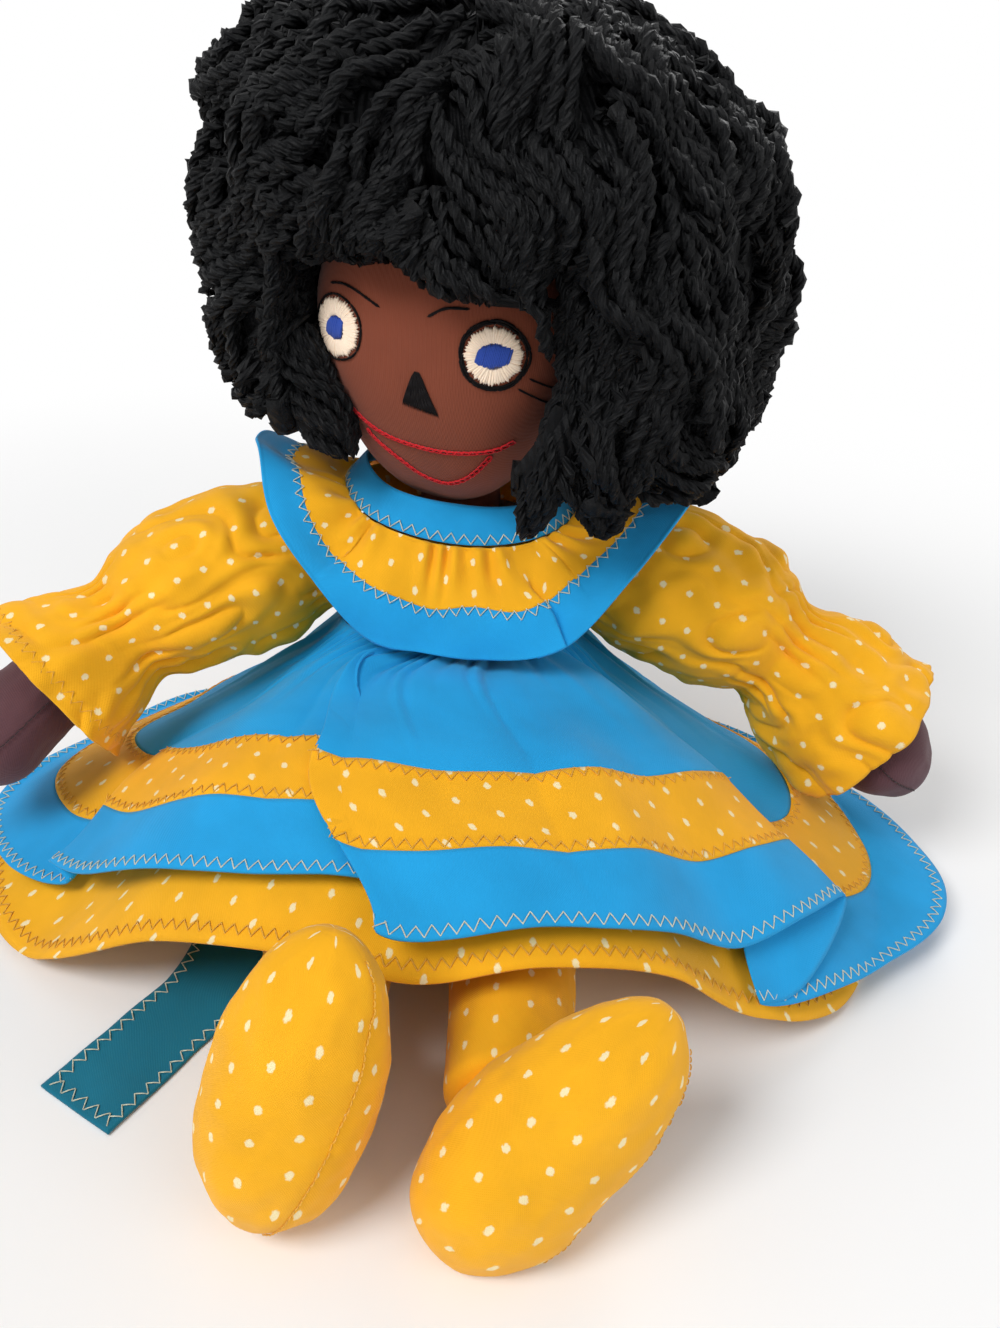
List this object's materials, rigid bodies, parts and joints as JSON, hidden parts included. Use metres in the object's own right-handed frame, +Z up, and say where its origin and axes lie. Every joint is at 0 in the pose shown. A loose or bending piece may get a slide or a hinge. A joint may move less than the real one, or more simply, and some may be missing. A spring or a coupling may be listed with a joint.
{
  "type": "folk art doll",
  "caption": "Seated stuffed cloth doll with looped yarn hair, an embroidered face, a dotted dress, and a pinafore with a gathered collar, waist sash and bow.",
  "frame": {"origin": "on the floor, under the middle of the doll's seat", "axes": "+Z up, the doll faces -Y, and its own right hand is at -X"},
  "size_m": [0.4192, 0.3898, 0.3325],
  "materials": {
    "brown_cotton": "matte",
    "hand_cotton": "matte",
    "elastic": "matte",
    "black_yarn": "matte",
    "dotted_yellow_cotton": "matte",
    "blue_cotton": "matte",
    "teal_cotton": "matte",
    "cream_thread": "matte",
    "blue_thread": "matte",
    "black_felt": "matte",
    "red_thread": "matte",
    "black_thread": "matte"
  },
  "bodies": {
    "torso": {"torso": "brown_cotton", "bodice": "dotted_yellow_cotton", "dress_yoke": "dotted_yellow_cotton", "dress_skirt": "dotted_yellow_cotton", "apron_top": "blue_cotton", "apron_band": "dotted_yellow_cotton", "apron_hem": "blue_cotton", "waistband": "blue_cotton", "neckband": "blue_cotton", "collar_ruffle": "dotted_yellow_cotton", "collar_border": "blue_cotton", "side_tie_right": "blue_cotton", "side_tie_left": "blue_cotton", "bow_knot": "blue_cotton", "bow_loop_right": "blue_cotton", "bow_loop_left": "blue_cotton", "sash_right": "teal_cotton", "sash_left": "teal_cotton"},
    "neck": {"neck": "brown_cotton"},
    "head": {"head": "brown_cotton", "right_eye_outline": "black_thread", "right_eye_white": "cream_thread", "right_iris": "blue_thread", "left_eye_outline": "black_thread", "left_eye_white": "cream_thread", "left_iris": "blue_thread", "nose": "black_felt", "right_eyebrow": "black_thread", "left_eyebrow": "black_thread", "left_lash_upper": "black_thread", "left_lash_lower": "black_thread", "mouth_upper": "red_thread", "mouth_lower": "red_thread", "hair_fringe": "black_yarn", "hair_crown_right": "black_yarn", "hair_crown_left": "black_yarn", "hair_side_right": "black_yarn", "hair_side_left": "black_yarn", "hair_back_right": "black_yarn", "hair_back_left": "black_yarn", "hair_tress_right": "black_yarn", "hair_tress_left_front": "black_yarn", "hair_tress_left_middle": "black_yarn", "hair_tress_left_back": "black_yarn"},
    "right_arm": {"right_arm": "hand_cotton", "right_sleeve": "dotted_yellow_cotton", "right_sleeve_elastic": "elastic"},
    "right_leg": {"right_leg": "dotted_yellow_cotton", "right_foot": "dotted_yellow_cotton"},
    "left_arm": {"left_arm": "hand_cotton", "left_sleeve": "dotted_yellow_cotton", "left_sleeve_elastic": "elastic"},
    "left_leg": {"left_leg": "dotted_yellow_cotton", "left_foot": "dotted_yellow_cotton"}
  },
  "joints": [
    {"name": "neck_turn", "type": "hinge", "parent": "torso", "child": "neck", "pos_m": [0, 0, 0.147], "axis": [0, 0, 1], "range_deg": [-20, 20]},
    {"name": "head_nod", "type": "hinge", "parent": "neck", "child": "head", "pos_m": [0, -0.008, 0.158], "axis": [0.9272, -0.3746, 0], "range_deg": [-10, 8]},
    {"name": "right_shoulder", "type": "hinge", "parent": "torso", "child": "right_arm", "pos_m": [-0.0475, 0, 0.124], "axis": [-1, 0, 0], "range_deg": [-5, 75]},
    {"name": "left_shoulder", "type": "hinge", "parent": "torso", "child": "left_arm", "pos_m": [0.0475, 0, 0.124], "axis": [-1, 0, 0], "range_deg": [-5, 75]},
    {"name": "right_hip", "type": "hinge", "parent": "torso", "child": "right_leg", "pos_m": [-0.031, -0.0295, 0.022], "axis": [1, 0, 0], "range_deg": [-2, 90]},
    {"name": "left_hip", "type": "hinge", "parent": "torso", "child": "left_leg", "pos_m": [0.031, -0.0295, 0.022], "axis": [1, 0, 0], "range_deg": [-2, 90]}
  ]
}
